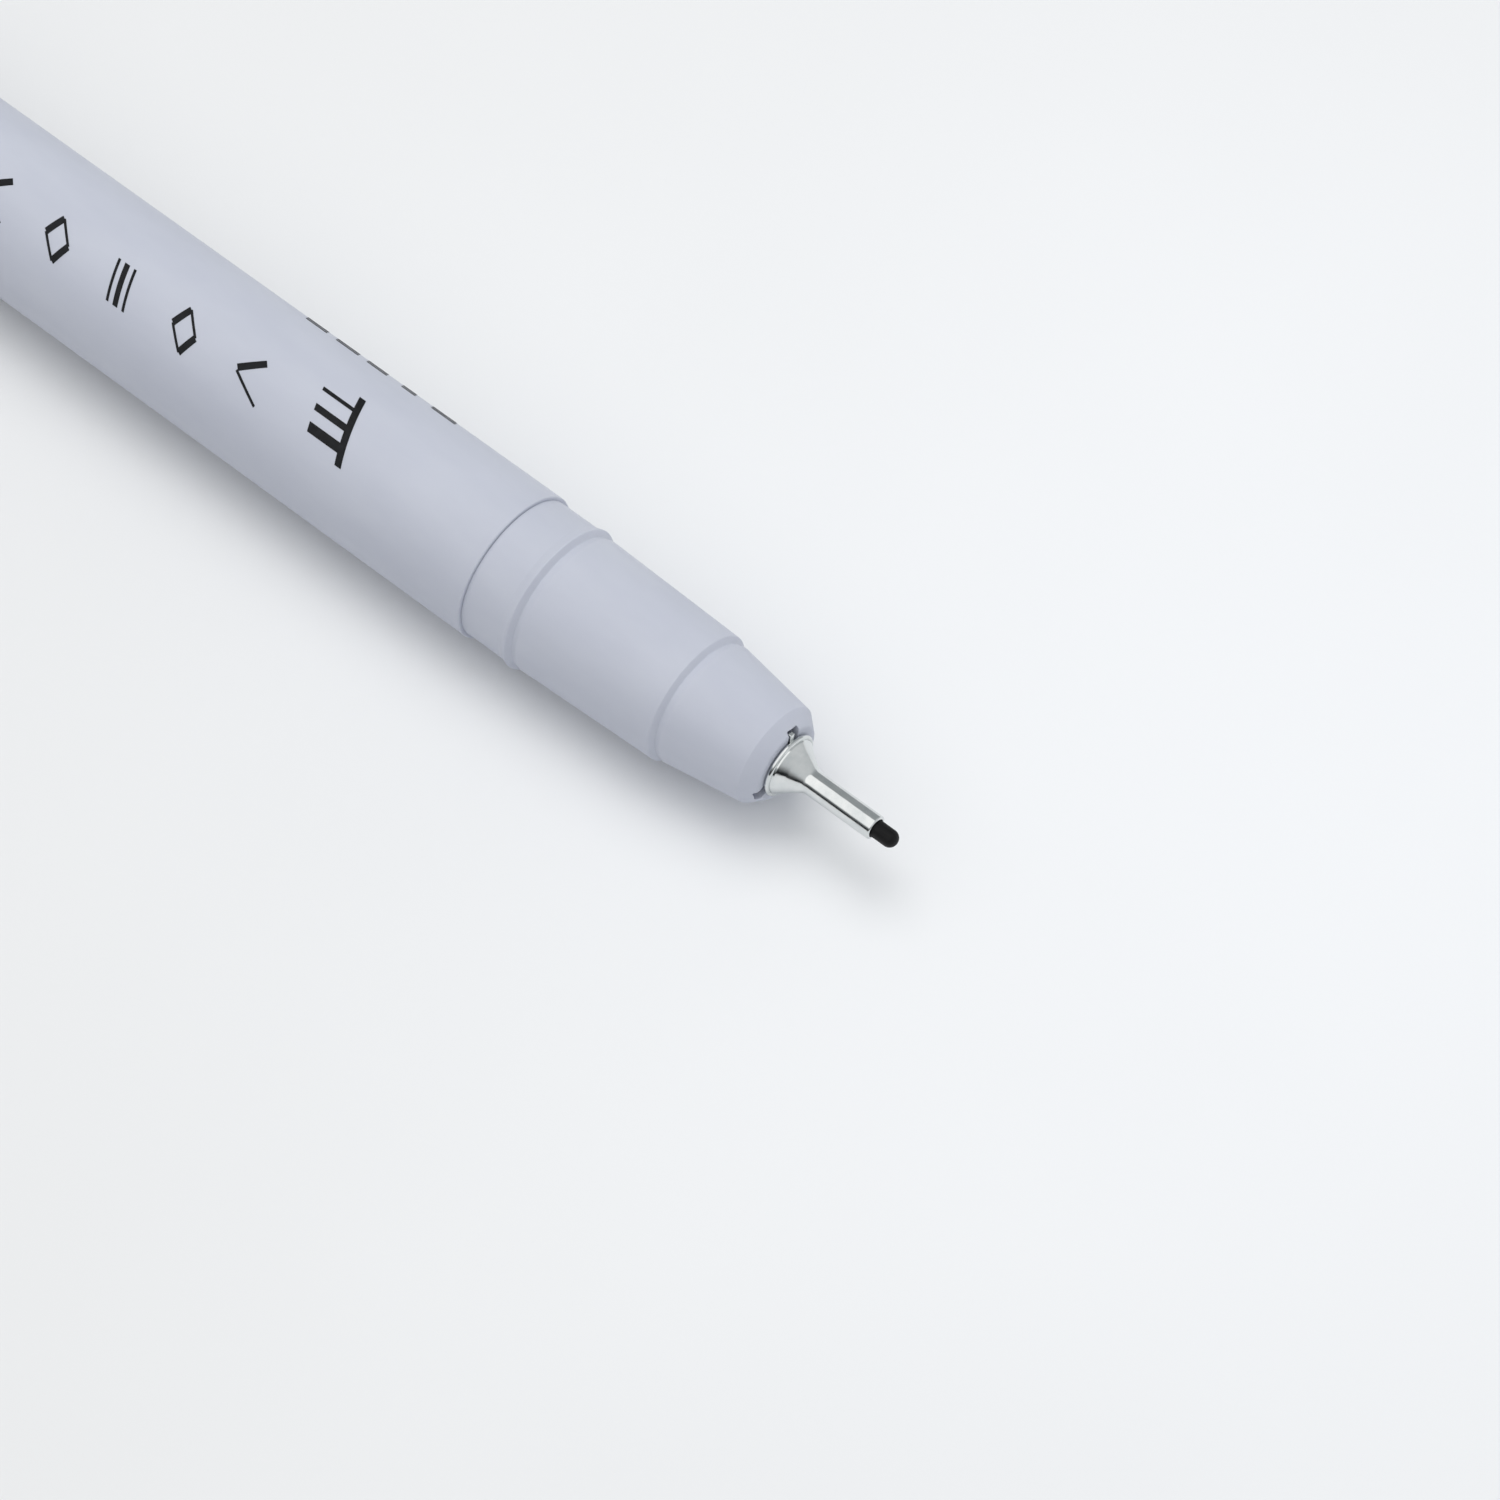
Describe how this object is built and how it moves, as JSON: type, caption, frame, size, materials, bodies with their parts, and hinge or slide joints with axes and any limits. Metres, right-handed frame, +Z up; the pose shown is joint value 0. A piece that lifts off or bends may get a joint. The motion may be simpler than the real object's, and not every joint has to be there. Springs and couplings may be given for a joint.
{
  "type": "technical pen",
  "caption": "Fibre-tip technical pen with a needle sleeve round its nib, a vented tapered grip and its clipped cap posted on the tail.",
  "frame": {"origin": "on the table, below the middle of the pen's length", "axes": "+X towards the nib, +Z up; the pen's axis dips 0.45 degrees towards the nib, because the pen rests on the cap's mouth, the barrel's front rim and the edge of the clip, which points to -Y and down"},
  "size_m": [0.1557, 0.013, 0.0117],
  "materials": {
    "lilac_plastic": "moulded polypropylene with a fine satin grain",
    "polished_steel": "drawn stainless steel, polished",
    "black_fibre": "extruded fibre rod, wet with ink",
    "inked_fibre": "bundled fibre soaked with ink",
    "clear_film": "thin clear film",
    "natural_plastic": "unpigmented polypropylene"
  },
  "bodies": {
    "pen": {"barrel": "lilac_plastic", "grip_section": "lilac_plastic", "nib_sleeve": "polished_steel", "nib": "black_fibre", "nib_guide": "natural_plastic", "ink_relay": "inked_fibre", "relay_holder": "natural_plastic", "ink_reservoir": "inked_fibre", "reservoir_film": "clear_film", "tail_plug": "lilac_plastic"},
    "cap": {"cap_shell": "lilac_plastic", "cap_liner": "natural_plastic", "cap_crown": "lilac_plastic"},
    "clip": {"pocket_clip": "polished_steel"}
  },
  "joints": [
    {"name": "cap_pull", "type": "slide", "parent": "pen", "child": "cap", "axis": [-1, 0, 0.0078], "range_m": [0, 0.015]},
    {"name": "clip_flex", "type": "hinge", "parent": "cap", "child": "clip", "pos_m": [-0.07601, -0.00416, 0.00263], "axis": [-0.0065, 0.5556, -0.8314], "range_deg": [0, 4], "stiffness_Nm_per_rad": 1}
  ]
}
